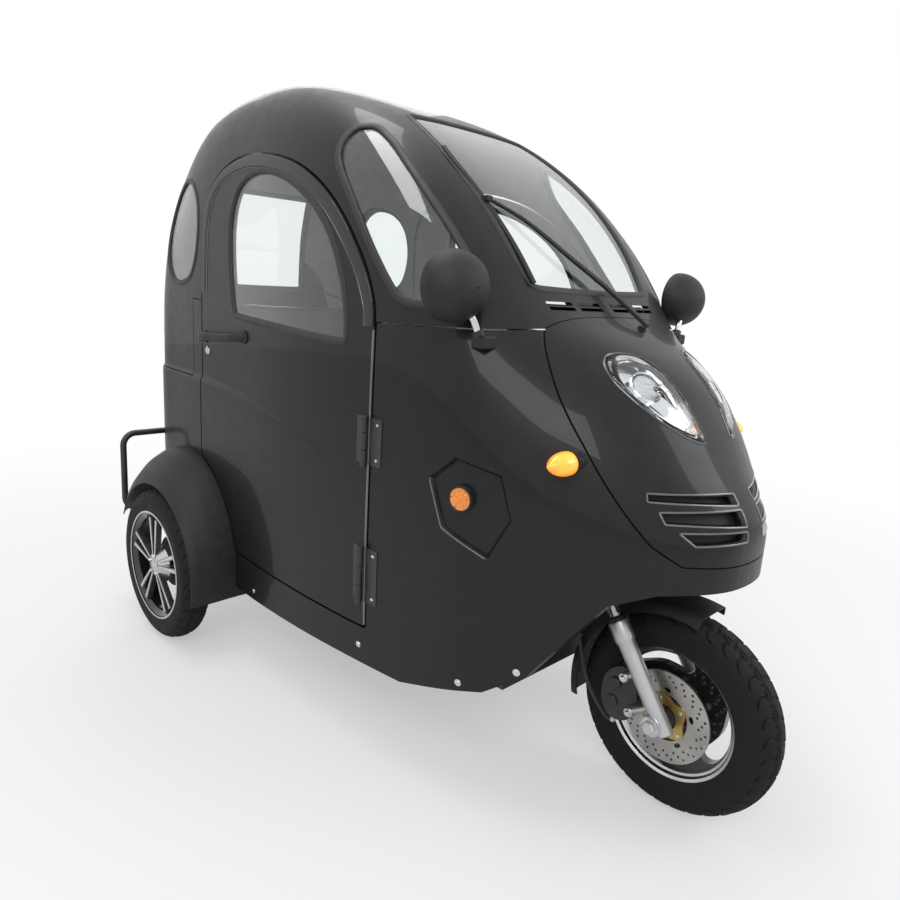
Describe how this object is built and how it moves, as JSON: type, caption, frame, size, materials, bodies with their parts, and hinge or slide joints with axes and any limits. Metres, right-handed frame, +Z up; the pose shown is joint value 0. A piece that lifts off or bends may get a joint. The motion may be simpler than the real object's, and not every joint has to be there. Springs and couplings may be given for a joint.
{
  "type": "enclosed electric cabin tricycle",
  "caption": "Small enclosed cabin tricycle with a moulded dark grey body, side-hinged doors, raked telescopic front fork, disc brake, alloy rear wheels and separate rear fenders.",
  "frame": {"origin": "on the ground, at the middle of the overall length and width", "axes": "+Z up, -Y forward (towards the single front wheel), -X the vehicle's right-hand side"},
  "size_m": [1.015, 1.812, 1.4561],
  "materials": {
    "body_paint": "gloss dark grey moulded body",
    "clear_glass": "clear, faintly tinted",
    "lamp_clear": "clear ribbed lamp lens",
    "lamp_amber": "amber lens",
    "lamp_red": "red lens",
    "interior": "textured grey",
    "battery_case": "matte black",
    "seat_cover": "grained black cover",
    "frame_steel": "satin black paint",
    "motor_case": "cast",
    "matte_black": "matte black",
    "tyre": "treaded rubber",
    "front_wheel_cast": "gloss black with machined lip",
    "rear_alloy": "machined alloy",
    "fork_silver": "silver lacquer",
    "brake_black": "black",
    "disc_steel": "ground steel",
    "hose_rubber": "black hose"
  },
  "bodies": {
    "chassis": {"cabin_shell": "body_paint", "bonnet": "body_paint", "front_cowl": "body_paint", "rear_body": "body_paint", "sill_panels": "body_paint", "windscreen": "clear_glass", "side_glass": "clear_glass", "rear_glass": "clear_glass", "headlights": "lamp_clear", "floor_pan": "interior", "dashboard": "interior", "seat_base": "interior", "battery": "battery_case", "seat_cushion": "seat_cover", "seat_back": "seat_cover", "frame": "frame_steel", "rear_axle": "frame_steel", "motor": "motor_case", "dampers": "frame_steel", "rear_fenders": "matte_black", "rear_bumper": "frame_steel", "front_indicators": "lamp_amber", "side_reflectors": "lamp_amber", "tail_lamps": "lamp_red", "mirrors": "matte_black", "hinge_leaves": "frame_steel", "wiper": "matte_black"},
    "door_right": {"door_right": "body_paint", "door_right_glass": "clear_glass", "door_right_fittings": "matte_black"},
    "door_left": {"door_left": "body_paint", "door_left_glass": "clear_glass", "door_left_fittings": "matte_black"},
    "fork": {"fork_legs": "fork_silver", "fork_crown": "frame_steel", "front_mudguard": "matte_black", "brake_caliper": "brake_black", "brake_hose": "hose_rubber", "handlebar": "matte_black"},
    "front_wheel": {"front_tyre": "tyre", "front_rim": "front_wheel_cast", "brake_disc": "disc_steel"},
    "rear_wheel_right": {"rear_tyre_right": "tyre", "rear_rim_right": "rear_alloy"},
    "rear_wheel_left": {"rear_tyre_left": "tyre", "rear_rim_left": "rear_alloy"}
  },
  "joints": [
    {"name": "steering", "type": "hinge", "parent": "chassis", "child": "fork", "pos_m": [0, -0.68116, 0.19281], "axis": [0, 0.5736, 0.8192], "range_deg": [-35, 35]},
    {"name": "front_wheel_spin", "type": "hinge", "parent": "fork", "child": "front_wheel", "pos_m": [0, -0.7, 0.206], "axis": [1, 0, 0], "continuous": true},
    {"name": "rear_wheel_right_spin", "type": "hinge", "parent": "chassis", "child": "rear_wheel_right", "pos_m": [-0.469, 0.577, 0.2046], "axis": [1, 0, 0], "continuous": true},
    {"name": "rear_wheel_left_spin", "type": "hinge", "parent": "chassis", "child": "rear_wheel_left", "pos_m": [0.469, 0.577, 0.2046], "axis": [1, 0, 0], "continuous": true},
    {"name": "door_right_hinge", "type": "hinge", "parent": "chassis", "child": "door_right", "pos_m": [-0.397, -0.18, 0.55], "axis": [0, 0, 1], "range_deg": [0, 70]},
    {"name": "door_left_hinge", "type": "hinge", "parent": "chassis", "child": "door_left", "pos_m": [0.397, -0.18, 0.55], "axis": [0, 0, -1], "range_deg": [0, 70]}
  ]
}
